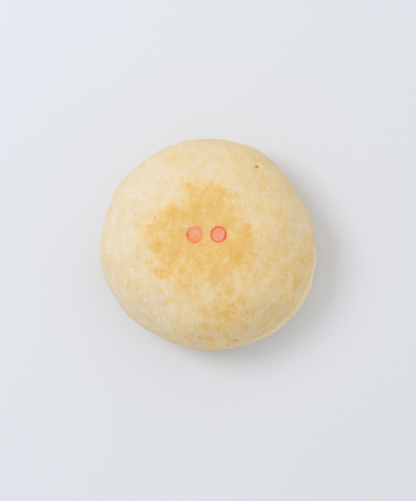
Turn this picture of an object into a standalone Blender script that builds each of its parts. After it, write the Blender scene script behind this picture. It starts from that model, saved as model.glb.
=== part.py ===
"""A round baked mooncake, its browned top marked with two red dye stamps.

One solid piece of flaky pastry, in metres with +Z up. The middle of its flat base is at the
origin, +X is its right and +Y its back. Run it with blender --background --python part.py.
"""

import math

import bmesh
import bpy
import numpy as np

MM = 0.001

# The turned form, before hands and the oven made it uneven
RADIUS = 37.2 * MM
HEIGHT = 33.0 * MM
BULGE_HEIGHT = 13.0 * MM
TOP_RADIUS = 9.0 * MM
BASE_RADIUS = 33.5 * MM
SHOULDER_FULLNESS = 2.15
SIDE_FULLNESS = 2.1

# How finely it is turned
SEGMENTS = 132
TOP_RINGS = 7
SHOULDER_RINGS = 16
SIDE_RINGS = 16

# The top leans away from the middle of the base, to the left and back
TOP_LEAN = np.array([-1.6, 3.6, 0.0]) * MM

# Where the side swells, or is pressed flat: direction and spread in degrees, then reach
SIDE_SWELLS = (
    (34.0, 12.0, -1.3 * MM),
    (241.0, 19.5, -1.95 * MM),
    (304.0, 49.0, -1.2 * MM),
    (64.0, 11.0, 0.75 * MM),
    (112.0, 14.0, 0.5 * MM),
    (153.0, 12.0, 0.5 * MM),
    (185.5, 8.0, 0.85 * MM),
    (311.0, 13.0, 0.15 * MM),
)

# The foot, a low roll of dough that spread on the baking tray
FOOT_HEIGHT = 2.4 * MM
FOOT_HALF_WIDTH = 2.6 * MM
FOOT_REACH = 0.4 * MM
# Where the foot swells past the side: direction and spread in degrees, then reach
FOOT_SWELL = (330.0, 41.0, 3.5 * MM)
FOOT_RIPPLE = 0.1 * MM
FOOT_RIPPLE_LENGTH = 10.0 * MM
# The crease between the foot and the bulge is as deep as the foot is proud there
CREASE_SHARE = 0.16
CREASE_HEIGHT = 7.2 * MM
CREASE_HALF_WIDTH = 1.7 * MM

# The hollow round the stamps, inside the ring that touched the tray
HOLLOW_DEPTH = 0.65 * MM
HOLLOW_RADIUS = 8.0 * MM

# Blisters of the skin on the side: direction in degrees, height, reach and rise
BLISTERS = (
    (274.8, 20.0 * MM, 3.6 * MM, 0.4 * MM),
    (146.0, 13.0 * MM, 5.0 * MM, 0.35 * MM),
    (53.5, 25.4 * MM, 2.6 * MM, 0.3 * MM),
)

# Soft unevenness of the skin: wavelength, height and seed of each layer
SKIN_WAVES = (
    (26.0 * MM, 0.16 * MM, 13),
    (11.0 * MM, 0.13 * MM, 12),
    (6.5 * MM, 0.05 * MM, 14),
)
WAVES_IN_A_LAYER = 28
SKIN_CENTRE = np.array([0.0, 0.0, 12.0]) * MM
FLAT_BASE_BELOW = 3.0 * MM

# The dye stamps, pressed on with the round end of a stick
STAMP_RADIUS = 2.85 * MM
STAMP_DEPTH = 0.22 * MM
STAMP_SIDES = 40
STAMP_PLACES = ((-4.9 * MM, 3.6 * MM), (3.2 * MM, 3.7 * MM))
CUTTER_HEIGHT = 4.0 * MM

# The patch that touched the tray, as overlapping rounds: x, y and radius
BROWNED_ROUNDS = (
    (-2.0 * MM, 4.0 * MM, 14.5 * MM),
    (-14.5 * MM, 5.5 * MM, 8.0 * MM),
    (0.0 * MM, 17.5 * MM, 5.5 * MM),
    (-13.0 * MM, -5.0 * MM, 6.0 * MM),
)

FINISHES = {
    "pale_crust": ((0.80, 0.64, 0.40, 1.0), 0.62),
    "browned_crust": ((0.72, 0.46, 0.15, 1.0), 0.52),
    "red_dye": ((0.80, 0.20, 0.12, 1.0), 0.55),
}


def clear_scene():
    """Removes every object, so that the script can be run again."""
    for old in list(bpy.data.objects):
        bpy.data.objects.remove(old)


def finish(name):
    """A plain Principled material with the named finish."""
    colour, roughness = FINISHES[name]
    material = bpy.data.materials.new(name)
    material.use_nodes = True
    shader = material.node_tree.nodes["Principled BSDF"]
    shader.inputs["Base Color"].default_value = colour
    shader.inputs["Roughness"].default_value = roughness
    shader.inputs["Metallic"].default_value = 0.0
    material.diffuse_color = colour
    return material


def ease(low, high, value):
    """0 below low, 1 above high, and a smooth rise between them."""
    share = np.clip((value - low) / (high - low), 0.0, 1.0)
    return share * share * (3.0 - 2.0 * share)


def swell(angle, direction, spread):
    """1 at a direction round the cake, fading over a spread; both are in degrees."""
    away = (np.degrees(angle) - direction + 180.0) % 360.0 - 180.0
    return np.exp(-((away / spread) ** 2))


def ridge(height, middle, half_width):
    """1 at a height up the side, fading over the half width."""
    return np.exp(-(((height - middle) / half_width) ** 2))


def waves(points, wavelength, seed):
    """Smooth noise of unit strength: a sum of cosine waves in seeded directions."""
    random = np.random.default_rng(seed)
    ways = random.normal(size=(WAVES_IN_A_LAYER, 3))
    ways /= np.linalg.norm(ways, axis=1, keepdims=True)
    ways *= 2.0 * math.pi / wavelength * random.uniform(0.75, 1.25, (WAVES_IN_A_LAYER, 1))
    phases = random.uniform(0.0, 2.0 * math.pi, WAVES_IN_A_LAYER)
    return np.cos(points @ ways.T + phases).sum(axis=1) * math.sqrt(2.0 / WAVES_IN_A_LAYER)


def quarter(start, corner, fullness, rings, falling):
    """Points of a quarter superellipse, without its first point.

    It leaves start level when falling, else upright, and ends at corner.
    """
    points = []
    for ring in range(1, rings + 1):
        turn = 0.5 * math.pi * ring / rings
        across = math.sin(turn) ** (2.0 / fullness)
        down = 1.0 - math.cos(turn) ** (2.0 / fullness)
        if not falling:
            across, down = down, across
        radius = start[0] + (corner[0] - start[0]) * across
        height = start[1] + (corner[1] - start[1]) * down
        points.append((radius, height))
    return points


def profile():
    """Radius and height of the turned form, from the middle of its top to the middle of its base."""
    top = [(TOP_RADIUS * ring / TOP_RINGS, HEIGHT) for ring in range(TOP_RINGS + 1)]
    shoulder = quarter(top[-1], (RADIUS, BULGE_HEIGHT), SHOULDER_FULLNESS, SHOULDER_RINGS, True)
    side = quarter(shoulder[-1], (BASE_RADIUS, 0.0), SIDE_FULLNESS, SIDE_RINGS, False)
    return top + shoulder + side + [(0.0, 0.0)]


def turned_mesh():
    """The profile spun round the upright axis, as one closed mesh."""
    shape = bmesh.new()
    corners = [shape.verts.new((radius, 0.0, height)) for radius, height in profile()]
    edges = [shape.edges.new(pair) for pair in zip(corners, corners[1:])]
    bmesh.ops.spin(
        shape,
        geom=corners + edges,
        cent=(0.0, 0.0, 0.0),
        axis=(0.0, 0.0, 1.0),
        angle=2.0 * math.pi,
        steps=SEGMENTS,
        use_merge=True,
    )
    bmesh.ops.remove_doubles(shape, verts=shape.verts, dist=0.01 * MM)
    bmesh.ops.recalc_face_normals(shape, faces=shape.faces)
    mesh = bpy.data.meshes.new("pastry")
    shape.to_mesh(mesh)
    shape.free()
    return mesh


def foot_reach(angle):
    """How far the foot stands out of the turned side, in each direction."""
    direction, spread, extra = FOOT_SWELL
    reach = FOOT_REACH + extra * swell(angle, direction, spread)
    rim = np.stack([np.cos(angle), np.sin(angle), np.zeros_like(angle)], axis=1) * RADIUS
    return reach + FOOT_RIPPLE * waves(rim, FOOT_RIPPLE_LENGTH, seed=21)


def blistered(points):
    """How far the blisters lift the skin: low round domes with steep edges."""
    radii, heights = zip(*profile())
    lift = np.zeros(len(points))
    for direction, height, reach, rise in BLISTERS:
        radius = np.interp(height, heights[::-1], radii[::-1])
        turn = math.radians(direction)
        middle = np.array([radius * math.cos(turn), radius * math.sin(turn), height])
        away = np.linalg.norm(points - middle, axis=1)
        lift += rise * (1.0 - ease(0.5 * reach, reach, away))
    return lift


def hand_shaped(points):
    """Moves the turned form's points to where hands, tray and oven left them."""
    radius = np.hypot(points[:, 0], points[:, 1])
    angle = np.arctan2(points[:, 1], points[:, 0])
    height = points[:, 2]
    out = np.stack([np.cos(angle), np.sin(angle), np.zeros_like(angle)], axis=1)

    side = np.zeros_like(angle)
    for direction, spread, reach in SIDE_SWELLS:
        side += reach * swell(angle, direction, spread)
    foot = ridge(height, FOOT_HEIGHT, FOOT_HALF_WIDTH)
    foot -= CREASE_SHARE * ridge(height, CREASE_HEIGHT, CREASE_HALF_WIDTH)
    foot *= foot_reach(angle) * ease(0.5 * RADIUS, 0.8 * RADIUS, radius)
    outwards = side * radius / RADIUS + foot

    hollow = HOLLOW_DEPTH * np.exp(-((radius / HOLLOW_RADIUS) ** 2)) * ease(0.0, HEIGHT, height)
    shaped = points + out * outwards[:, None]
    shaped[:, 2] -= hollow
    shaped += TOP_LEAN * (height / HEIGHT)[:, None] ** 2

    from_centre = points - SKIN_CENTRE
    from_centre /= np.linalg.norm(from_centre, axis=1, keepdims=True)
    skin = sum(rise * waves(points, length, seed) for length, rise, seed in SKIN_WAVES)
    skin *= ease(0.0, FLAT_BASE_BELOW, height)
    skin += blistered(points)
    return shaped + from_centre * skin[:, None]


def centred_on_base(points):
    """Slides the points so that the middle of their bounding box is over the origin."""
    middle = (points.min(axis=0) + points.max(axis=0)) / 2.0
    return points - np.array([middle[0], middle[1], 0.0])


def is_browned(centre):
    """Whether a face's centre lies where the tray browned the top, or on the base."""
    on_top = centre.z > 0.8 * HEIGHT and any(
        math.hypot(centre.x - x, centre.y - y) < reach for x, y, reach in BROWNED_ROUNDS
    )
    return on_top or centre.z < 0.1 * MM


def make_pastry():
    """The whole mooncake as one uneven solid, its browned faces in their own finish."""
    mesh = turned_mesh()
    points = np.empty(len(mesh.vertices) * 3)
    mesh.vertices.foreach_get("co", points)
    points = centred_on_base(hand_shaped(points.reshape(-1, 3)))
    mesh.vertices.foreach_set("co", points.ravel())

    shape = bmesh.new()
    shape.from_mesh(mesh)
    bmesh.ops.triangulate(shape, faces=shape.faces)
    for face in shape.faces:
        face.material_index = int(is_browned(face.calc_center_median()))
    shape.to_mesh(mesh)
    shape.free()
    mesh.materials.append(finish("pale_crust"))
    mesh.materials.append(finish("browned_crust"))
    mesh.materials.append(finish("red_dye"))
    mesh.shade_smooth()

    pastry = bpy.data.objects.new("pastry", mesh)
    bpy.context.collection.objects.link(pastry)
    return pastry


def stamp_cutter(name, pastry, place, dye):
    """A round plug whose lower face is the dyed floor of one stamp's dent."""
    found, surface, _, _ = pastry.ray_cast((place[0], place[1], 2.0 * HEIGHT), (0.0, 0.0, -1.0))
    if not found:
        raise ValueError(f"{name} isn't over the pastry")
    shape = bmesh.new()
    bmesh.ops.create_cone(
        shape,
        cap_ends=True,
        segments=STAMP_SIDES,
        radius1=STAMP_RADIUS,
        radius2=STAMP_RADIUS,
        depth=CUTTER_HEIGHT,
    )
    mesh = bpy.data.meshes.new(name)
    shape.to_mesh(mesh)
    shape.free()
    mesh.materials.append(dye)
    cutter = bpy.data.objects.new(name, mesh)
    cutter.location = (place[0], place[1], surface.z - STAMP_DEPTH + CUTTER_HEIGHT / 2.0)
    cutter.display_type = "WIRE"
    cutter.hide_render = True
    bpy.context.collection.objects.link(cutter)
    return cutter


def press_stamps(pastry):
    """Cuts the two shallow round dents, whose floors take the dye's finish."""
    dye = pastry.data.materials["red_dye"]
    bpy.context.view_layer.update()
    for number, place in enumerate(STAMP_PLACES, start=1):
        cutter = stamp_cutter(f"stamp_cutter_{number}", pastry, place, dye)
        dent = pastry.modifiers.new(f"stamp_{number}", "BOOLEAN")
        dent.operation = "DIFFERENCE"
        dent.solver = "EXACT"
        dent.material_mode = "TRANSFER"
        dent.object = cutter


def main():
    """Builds the mooncake in an empty scene."""
    clear_scene()
    press_stamps(make_pastry())


main()
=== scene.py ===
"""A round baked mooncake in a pale flaky crust, seen from straight above on a pale floor.

The cake is one closed skin, worked out with numpy from the same sizes as the solid in the frame
and dressed with a procedural baked crust. Lengths are in metres unless a class says that its own
are in millimetres, and colours are sRGB hex values.
"""

from __future__ import annotations

import itertools
import logging
import math
from dataclasses import dataclass
from enum import Enum
from typing import Any, Sequence

import bpy
import numpy as np
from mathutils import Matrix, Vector


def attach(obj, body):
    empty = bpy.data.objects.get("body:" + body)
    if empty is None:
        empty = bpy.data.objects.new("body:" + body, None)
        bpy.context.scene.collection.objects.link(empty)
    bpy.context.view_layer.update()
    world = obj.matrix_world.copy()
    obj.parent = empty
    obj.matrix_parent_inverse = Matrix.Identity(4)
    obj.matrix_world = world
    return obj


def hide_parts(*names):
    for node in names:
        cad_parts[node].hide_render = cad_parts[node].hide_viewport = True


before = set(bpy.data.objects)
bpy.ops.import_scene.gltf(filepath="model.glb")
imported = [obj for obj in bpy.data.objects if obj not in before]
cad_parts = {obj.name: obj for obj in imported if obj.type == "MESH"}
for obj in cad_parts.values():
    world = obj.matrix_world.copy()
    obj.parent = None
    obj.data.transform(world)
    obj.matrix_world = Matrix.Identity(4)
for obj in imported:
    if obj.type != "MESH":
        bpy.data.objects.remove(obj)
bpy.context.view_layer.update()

LOG = logging.getLogger("mooncake")

MM = 0.001
FULL_TURN = 2.0 * math.pi

# The photograph's frame, and the real width of one of its pixels at the cake's widest
FRAME_PIXELS = (416, 501)
PIXEL = 0.35 * MM
CAKE_CENTRE_PIXEL = (209.2, 245.7)

# Whole numbers that scatter one spot in each cube of a lattice
CUBE_MIXERS = (73856093, 19349663, 83492791)
SEED_MIXER = 9781
JITTER_MIXERS = (7919, 10007, 15731)
JITTER_SHIFT = 7
JITTER_STEPS = 1009

Tree = bpy.types.NodeTree
Output = bpy.types.NodeSocket

# A share from 0 to 1 and the hex colour that it lays over what is below
Coat = tuple[Output, str]

# What makes a Map Range node ease its value in and out
EASED = {"interpolation_type": "SMOOTHSTEP"}

# A colour Mix node's share, two colours and result, by number because their names repeat
MIX_SHARE, MIX_BELOW, MIX_ABOVE, MIX_RESULT = 0, 6, 7, 2


class CadName(Enum):
    """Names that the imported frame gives."""

    BODY = "root"
    NODE = "pastry"
    SLOT = "crust"


class Layer(Enum):
    """Vertex attributes that carry the bake, the painted shade and the foot's painted light from the form
    to the finish.
    """

    BROWNING = "browning"
    FLECKING = "flecking"
    SPOTTING = "spotting"
    # Painted shade, as a share taken off the crust's colour
    DULLING = "dulling"
    # Pale dough at the foot, with painted light
    FOOT = "foot"
    LEAF = "leaf"
    LEAFING = "leafing"


# Shared shaping functions


def ease(low: float, high: float, value: np.ndarray) -> np.ndarray:
    """0 below low, 1 above high, and 3s^2 - 2s^3 of the share s between them."""
    share = np.clip((value - low) / (high - low), 0.0, 1.0)
    return share * share * (3.0 - 2.0 * share)


def ridge(value: np.ndarray, middle: float, half_width: float) -> np.ndarray:
    """The bell exp(-((value - middle) / half width)^2)."""
    return np.exp(-(((value - middle) / half_width) ** 2))


def level_way(angle: np.ndarray) -> np.ndarray:
    """Level unit vectors (cos a, sin a, 0), one row for each direction."""
    return np.stack([np.cos(angle), np.sin(angle), np.zeros_like(angle)], axis=1)


@dataclass(frozen=True)
class Waves:
    """Smooth seeded noise, from its waves' mean length, its reach and its seed.

    Spread is the shortest and the longest of the waves, as shares of the mean length.
    """

    length: float
    reach: float
    seed: int
    count: int = 28
    spread: tuple[float, float] = (0.75, 1.25)

    def at(self, points: np.ndarray) -> np.ndarray:
        """The reach times sqrt(2 / n) times the sum of cos(2 pi w.p / length + phase).

        The sum goes over n seeded unit directions w, each with its own share of the mean length
        and its own phase.

        Args:
            points: positions, one row each.

        Returns:
            One value for each point.
        """
        random = np.random.default_rng(self.seed)
        ways = random.normal(size=(self.count, 3))
        ways /= np.linalg.norm(ways, axis=1, keepdims=True)
        ways *= FULL_TURN / self.length * random.uniform(*self.spread, (self.count, 1))
        phases = random.uniform(0.0, FULL_TURN, self.count)
        total = np.cos(points @ ways.T + phases).sum(axis=1)
        return self.reach * (total * math.sqrt(2.0 / self.count))


@dataclass(frozen=True)
class ScatteredSpots:
    """Spots scattered at random, one in each cube of a lattice: the cubes' edge and a seed."""

    spacing: float
    seed: int

    def distance(self, points: np.ndarray) -> np.ndarray:
        """Distance to the nearest spot: min |p - spot| / spacing over the 27 cubes round p.

        Args:
            points: positions, one row each.

        Returns:
            One distance for each point, in spacings.
        """
        place = points / self.spacing
        cube = np.floor(place).astype(np.int64)
        nearest = np.full(len(points), np.inf)
        mixers = np.array(CUBE_MIXERS, dtype=np.int64)
        for step in itertools.product((-1, 0, 1), repeat=3):
            corner = cube + np.array(step)
            key = (corner * mixers).sum(axis=1) + self.seed * SEED_MIXER
            mixed = [((key * mixer) >> JITTER_SHIFT) % JITTER_STEPS for mixer in JITTER_MIXERS]
            away = corner + np.stack(mixed, axis=1) / JITTER_STEPS - place
            nearest = np.minimum(nearest, np.linalg.norm(away, axis=1))
        return nearest


# The cake's form


@dataclass(frozen=True)
class Swell:
    """A stretch of the rim, with its direction and spread in degrees and its reach in metres."""

    direction: float
    spread: float
    reach: float

    def at(self, angle: np.ndarray) -> np.ndarray:
        """Reach times exp(-(degrees away / spread)^2)."""
        away = (np.degrees(angle) - self.direction + 180.0) % 360.0 - 180.0
        return self.reach * np.exp(-((away / self.spread) ** 2))


@dataclass
class TurnedForm:
    """The cake as a body of revolution, before hands and the oven made it uneven."""

    radius: float = 37.2 * MM
    height: float = 33.0 * MM
    bulge_height: float = 13.0 * MM
    top_radius: float = 9.0 * MM
    base_radius: float = 33.5 * MM
    shoulder_fullness: float = 2.15
    side_fullness: float = 2.1
    samples: int = 2000

    def outline(self) -> tuple[np.ndarray, np.ndarray]:
        """The profile, from the top's middle to the base's edge.

        A level line, then two quarters of superellipses: across = sin(t)^(2/n) and
        down = 1 - cos(t)^(2/n) over the shoulder, and the two exchanged down the side.

        Returns:
            The radius and the height of each sample.
        """
        turn = np.linspace(0.0, 0.5 * math.pi, self.samples)
        across = np.sin(turn) ** (2.0 / self.shoulder_fullness)
        down = 1.0 - np.cos(turn) ** (2.0 / self.shoulder_fullness)
        shoulder = (
            self.top_radius + (self.radius - self.top_radius) * across,
            self.height + (self.bulge_height - self.height) * down,
        )
        inwards = 1.0 - np.cos(turn) ** (2.0 / self.side_fullness)
        fall = np.sin(turn) ** (2.0 / self.side_fullness)
        side = (
            self.radius + (self.base_radius - self.radius) * inwards,
            self.bulge_height * (1.0 - fall),
        )
        radius = np.concatenate([[0.0], shoulder[0], side[0][1:]])
        height = np.concatenate([[self.height], shoulder[1], side[1][1:]])
        return radius, height

    def radius_at(self, height: float) -> float:
        """Radius of the shoulder or the side at a height."""
        radius, heights = self.outline()
        return float(np.interp(height, heights[::-1], radius[::-1]))

    def points(self, share: np.ndarray, angle: np.ndarray) -> np.ndarray:
        """Points of the turned surface.

        Args:
            share: how far along the profile's length, from 0 at the pole to 1 at the base's edge.
            angle: direction round the axis, in radians.

        Returns:
            (r cos a, r sin a, z), with r and z read at that share of the profile's length.
        """
        radius, height = self.outline()
        length = np.concatenate([[0.0], np.cumsum(np.hypot(np.diff(radius), np.diff(height)))])
        along = share * length[-1]
        reach = np.interp(along, length, radius)
        return np.stack(
            [reach * np.cos(angle), reach * np.sin(angle), np.interp(along, length, height)], axis=1
        )


@dataclass(frozen=True)
class Blister:
    """A dome of lifted skin on the side: direction in degrees, the rest in metres."""

    direction: float
    height: float
    reach: float
    rise: float

    def lift(self, points: np.ndarray, form: TurnedForm) -> np.ndarray:
        """Rise times a round plateau, level to half its reach and eased to nothing at it.

        Args:
            points: points of the turned form.
            form: the turned form, on whose surface the blister's middle lies.

        Returns:
            How far each point is lifted.
        """
        turn = math.radians(self.direction)
        radius = form.radius_at(self.height)
        middle = np.array([radius * math.cos(turn), radius * math.sin(turn), self.height])
        away = np.linalg.norm(points - middle, axis=1)
        return self.rise * (1.0 - ease(0.5 * self.reach, self.reach, away))


@dataclass
class HandShape:
    """What hands, the tray and the oven did to the turned form, as in the solid."""

    form: TurnedForm
    top_lean: tuple[float, float, float] = (-1.6 * MM, 3.6 * MM, 0.0)
    side_swells: tuple[Swell, ...] = (
        Swell(34.0, 12.0, -1.3 * MM),
        Swell(241.0, 19.5, -1.95 * MM),
        Swell(304.0, 49.0, -1.2 * MM),
        Swell(64.0, 11.0, 0.75 * MM),
        Swell(112.0, 14.0, 0.5 * MM),
        Swell(153.0, 12.0, 0.5 * MM),
        Swell(185.5, 8.0, 0.85 * MM),
        Swell(311.0, 13.0, 0.15 * MM),
    )
    foot_height: float = 2.4 * MM
    foot_half_width: float = 2.6 * MM
    foot_reach: float = 0.4 * MM
    foot_swell: Swell = Swell(330.0, 41.0, 3.5 * MM)
    foot_ripple: Waves = Waves(10.0 * MM, 0.1 * MM, seed=21)
    foot_from: tuple[float, float] = (0.5, 0.8)
    crease_share: float = 0.16
    crease_height: float = 7.2 * MM
    crease_half_width: float = 1.7 * MM
    blisters: tuple[Blister, ...] = (
        Blister(274.8, 20.0 * MM, 3.6 * MM, 0.4 * MM),
        Blister(146.0, 13.0 * MM, 5.0 * MM, 0.35 * MM),
        Blister(53.5, 25.4 * MM, 2.6 * MM, 0.3 * MM),
    )
    hollow_depth: float = 0.65 * MM
    hollow_radius: float = 8.0 * MM
    skin_waves: tuple[Waves, ...] = (
        Waves(26.0 * MM, 0.16 * MM, seed=13),
        Waves(11.0 * MM, 0.13 * MM, seed=12),
        Waves(6.5 * MM, 0.05 * MM, seed=14),
    )
    skin_centre: tuple[float, float, float] = (0.0, 0.0, 12.0 * MM)
    flat_base_below: float = 3.0 * MM

    def foot_out(self, angle: np.ndarray) -> np.ndarray:
        """How far the foot stands out: even reach, plus a swell, plus a ripple along the rim.

        Args:
            angle: direction round the axis, in radians.

        Returns:
            One reach for each direction.
        """
        rim = level_way(angle) * self.form.radius
        return self.foot_reach + self.foot_swell.at(angle) + self.foot_ripple.at(rim)

    def applied(self, points: np.ndarray) -> np.ndarray:
        """The turned form's points, moved out, down, sideways and along the skin's waves.

        Outwards go the side's swells times r / R, and the foot's reach times its bell over the
        height less the crease's. Down goes a bell round the axis, and sideways the lean times
        (z / h)^2. Waves and blisters then move each point along its line from the skin's centre.

        Args:
            points: points of the turned form.

        Returns:
            The same points on the hand-shaped cake, before it is centred.
        """
        form = self.form
        radius = np.hypot(points[:, 0], points[:, 1])
        angle = np.arctan2(points[:, 1], points[:, 0])
        height = points[:, 2]

        side = sum(swell.at(angle) for swell in self.side_swells)
        foot = ridge(height, self.foot_height, self.foot_half_width)
        foot -= self.crease_share * ridge(height, self.crease_height, self.crease_half_width)
        foot *= self.foot_out(angle) * ease(*self.foot_from, radius / form.radius)
        outwards = side * radius / form.radius + foot

        hollow = self.hollow_depth * np.exp(-((radius / self.hollow_radius) ** 2))
        shaped = points + level_way(angle) * outwards[:, None]
        shaped[:, 2] -= hollow * ease(0.0, form.height, height)
        shaped += np.array(self.top_lean) * (height / form.height)[:, None] ** 2

        from_centre = points - np.array(self.skin_centre)
        from_centre /= np.linalg.norm(from_centre, axis=1, keepdims=True)
        skin = sum(waves.at(points) for waves in self.skin_waves)
        skin *= ease(0.0, self.flat_base_below, height)
        skin += sum(blister.lift(points, form) for blister in self.blisters)
        return shaped + from_centre * skin[:, None]


@dataclass(frozen=True)
class Press:
    """A stretch of a stamp's ring that was pressed harder, with its direction in degrees."""

    direction: float
    strength: float
    colour: str


@dataclass(frozen=True)
class Stamp:
    """One round mark of red dye, pressed on with the end of a stick.

    Thinning is the noise at which the dye starts to thin and at which it is thinnest, and the
    drop is the place and size of a blot of dye on the ring.
    """

    x: float
    y: float
    radius: float
    depth: float
    ring_width: float
    ring_softness: float
    ring_colour: str
    pooled_colour: str
    fill_colour: str
    thin_colour: str
    thinning: tuple[float, float]
    ring_strength: float
    fill_strength: float
    presses: tuple[Press, ...]
    drop: tuple[float, float, float] | None = None
    drop_colour: str = "#EE6434"
    dent_edge: tuple[float, float] = (-0.45 * MM, 0.15 * MM)

    def dent(self, points: np.ndarray) -> np.ndarray:
        """Depth times a round plateau with a soft edge, for points on the top."""
        away = np.hypot(points[:, 0] - self.x, points[:, 1] - self.y)
        return self.depth * (1.0 - ease(*(self.radius + edge for edge in self.dent_edge), away))


# How it baked, and the shade and light painted on it


@dataclass(frozen=True)
class Blotch:
    """A soft oval of browned or pale skin, in millimetres, seen from above."""

    x: float
    y: float
    reach_x: float
    reach_y: float
    strength: float

    def at(self, x: np.ndarray, y: np.ndarray) -> np.ndarray:
        """Strength times exp(-d^3), with d the distance in reaches."""
        away = np.hypot((x - self.x) / self.reach_x, (y - self.y) / self.reach_y)
        return self.strength * np.exp(-(away**3))


@dataclass
class Bake:
    """Where the top touched the hot tray and browned, where it stayed pale, and painted shade on the
    shoulders.

    Blotches are given one by one. Places and slopes are in millimetres.
    """

    touched: tuple[Blotch, ...] = (
        # Two lobes at the back of the patch and the neck below them
        Blotch(-5.8, 19.3, 3.6, 3.6, 0.86),
        Blotch(0.2, 18.9, 2.9, 3.6, 0.84),
        Blotch(4.4, 17.3, 2.9, 2.7, 0.76),
        Blotch(-1.6, 14.2, 6.4, 3.6, 0.62),
        # The patch's left half
        Blotch(-11.5, 10.2, 6.4, 4.6, 0.90),
        Blotch(-4.5, 10.0, 5.0, 4.6, 0.76),
        Blotch(-18.0, 7.8, 3.6, 4.8, 0.36),
        Blotch(-21.8, 4.8, 3.0, 4.2, 0.52),
        Blotch(-18.6, 1.0, 3.4, 3.2, 0.54),
        Blotch(-14.0, 0.6, 5.6, 5.6, 0.84),
        Blotch(-14.4, -6.4, 4.7, 4.6, 0.84),
        Blotch(-17.2, -6.6, 2.0, 2.4, 0.56),
        Blotch(-23.4, -3.0, 2.8, 2.0, 0.20),
        Blotch(-6.0, 2.6, 8.0, 6.4, 0.80),
        Blotch(-8.6, -8.6, 6.4, 4.6, 0.70),
        Blotch(-4.6, -3.6, 6.4, 5.4, 0.76),
        # Its right half
        Blotch(4.4, 3.8, 7.0, 6.6, 0.90),
        Blotch(5.0, 10.8, 5.4, 4.4, 0.66),
        Blotch(8.8, 12.4, 2.9, 4.1, 0.62),
        Blotch(12.0, 5.8, 2.9, 3.2, 0.74),
        Blotch(13.4, 1.8, 3.5, 3.5, 0.86),
        Blotch(10.4, -3.8, 4.0, 4.6, 0.88),
        Blotch(4.4, -3.2, 6.8, 5.8, 0.80),
        Blotch(2.8, -9.0, 6.6, 3.2, 0.84),
        Blotch(17.8, -5.0, 3.8, 6.8, 0.31),
        Blotch(15.8, 11.6, 2.6, 3.2, 0.42),
        # The tails and the patch in front
        Blotch(-5.2, -13.6, 4.6, 4.4, 0.56),
        Blotch(-13.0, -16.0, 6.0, 5.2, 0.17),
        Blotch(6.6, -15.6, 3.6, 3.6, 0.46),
        Blotch(6.0, -20.4, 5.2, 3.8, 0.42),
        Blotch(4.9, -24.6, 4.6, 3.6, 0.66),
        Blotch(10.2, -24.0, 4.0, 4.8, 0.38),
        Blotch(0.6, -30.2, 4.8, 4.0, 0.36),
        Blotch(-8.4, -29.6, 5.0, 4.4, 0.20),
        # Faint gold near the rim
        Blotch(-11.2, 30.4, 4.2, 3.2, 0.28),
        Blotch(12.0, 28.6, 6.2, 4.2, 0.16),
        Blotch(17.0, 27.2, 1.9, 2.1, 0.28),
        Blotch(18.0, 21.0, 1.8, 2.2, 0.22),
        Blotch(33.0, -2.6, 1.9, 4.4, 0.30),
        Blotch(24.0, 22.4, 3.0, 3.0, 0.10),
        Blotch(26.0, -11.0, 4.8, 5.8, 0.10),
        Blotch(-24.4, -12.6, 4.0, 4.0, 0.28),
    )
    kept_pale: tuple[Blotch, ...] = (
        # Round the patch, from the back left to the front and the right
        Blotch(-20.0, 21.5, 9.0, 8.0, 0.13),
        Blotch(33.0, 8.5, 4.5, 9.5, 0.24),
        Blotch(-6.0, -23.0, 3.0, 3.0, 0.16),
        Blotch(-27.5, 12.0, 6.0, 9.0, 0.12),
        Blotch(-15.0, -27.0, 5.0, 4.4, 0.18),
        Blotch(-21.5, -20.0, 4.2, 4.2, 0.08),
        Blotch(12.8, 9.8, 1.8, 3.4, 0.20),
        Blotch(-1.4, -16.6, 2.6, 2.2, 0.10),
        Blotch(3.0, 27.8, 2.6, 3.0, 0.22),
        Blotch(12.4, 22.6, 2.1, 3.0, 0.18),
        Blotch(9.4, 17.8, 2.0, 2.0, 0.22),
        Blotch(18.5, 15.7, 2.3, 2.4, 0.26),
        Blotch(-26.6, 1.6, 4.0, 2.8, 0.11),
        Blotch(31.0, 13.6, 3.4, 4.4, 0.18),
        Blotch(16.4, 4.0, 2.8, 3.6, 0.10),
        Blotch(-21.6, -6.0, 1.8, 2.4, 0.22),
        Blotch(-18.2, -13.0, 2.4, 2.4, 0.12),
        # Paler islands inside the patch
        Blotch(-8.0, 7.0, 3.6, 1.2, 0.10),
        Blotch(-16.8, 4.2, 2.4, 1.6, 0.10),
        Blotch(-8.2, -6.4, 1.5, 2.2, 0.14),
        Blotch(-2.8, 19.0, 1.1, 2.2, 0.18),
        Blotch(5.2, 11.2, 2.0, 1.6, 0.12),
        Blotch(5.0, -6.7, 2.8, 1.2, 0.14),
        Blotch(8.7, 4.0, 1.2, 2.6, 0.10),
    )
    painted_shade_blotches: tuple[Blotch, ...] = (
        # Painted shade: the front shoulder, the front right and the right, darkened where shade falls
        Blotch(0.5, -31.0, 12.5, 5.0, 0.085),
        Blotch(18.5, -24.5, 10.5, 7.5, 0.055),
        Blotch(28.0, 3.0, 6.5, 17.0, 0.025),
    )
    # Waves that make the blotches' outlines ragged, along x and along y, with reaches in millimetres
    wander: tuple[tuple[Waves, Waves], ...] = (
        (Waves(6.0 * MM, 0.7, seed=31), Waves(6.0 * MM, 0.7, seed=32)),
        (Waves(2.3 * MM, 0.4, seed=33), Waves(2.3 * MM, 0.4, seed=34)),
    )
    ground: float = 0.41
    ground_slope: tuple[float, float] = (0.0066, -0.0018)
    deepest: float = 1.1
    browned_above: tuple[float, float] = (0.35, 0.75)
    paler_below: tuple[float, float] = (0.1, 0.42)
    side_paling: float = 0.2
    tray_browning: float = 0.85
    tray_reach: tuple[float, float] = (0.1 * MM, 2.2 * MM)
    fleck: float = 0.94
    fleck_slope: tuple[float, float] = (0.002, -0.0055)
    fleck_limits: tuple[float, float] = (0.75, 1.15)
    raw_mottling: float = 1.06
    mottling_lost: float = 0.38
    spot_middle: tuple[float, float] = (-21.0, -17.0)
    spot_reach: float = 15.0
    fewest_spots: float = 0.25

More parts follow.
